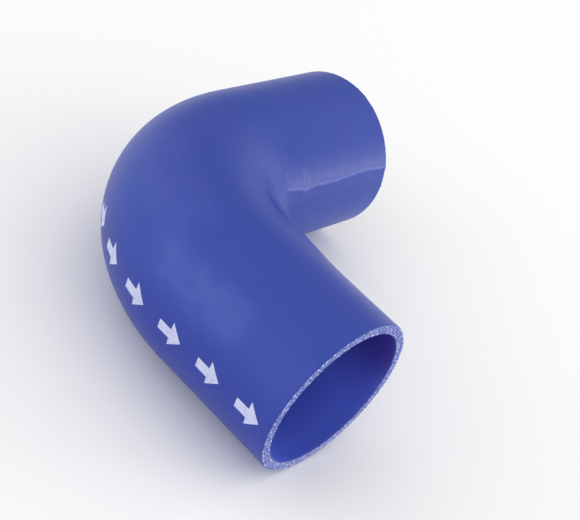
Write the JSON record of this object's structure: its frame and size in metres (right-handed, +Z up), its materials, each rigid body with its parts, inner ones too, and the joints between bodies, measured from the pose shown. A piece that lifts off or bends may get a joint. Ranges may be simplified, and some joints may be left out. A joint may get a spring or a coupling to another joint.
{
  "type": "silicone elbow hose",
  "caption": "Right-angle elbow of thick, cloth-reinforced silicone hose with plain cut ends, which slides over pipes in an engine bay and is clamped there.",
  "frame": {"origin": "under the middle of the hose's box, on the surface that the hose lies on", "axes": "+Z up, square to the plane of the bend; the near leg opens towards -Y and the far leg towards +X"},
  "size_m": [0.1942, 0.1902, 0.0864],
  "materials": {
    "silicone": "satin"
  },
  "bodies": {
    "root": {"elbow_hose": "silicone"}
  },
  "joints": []
}
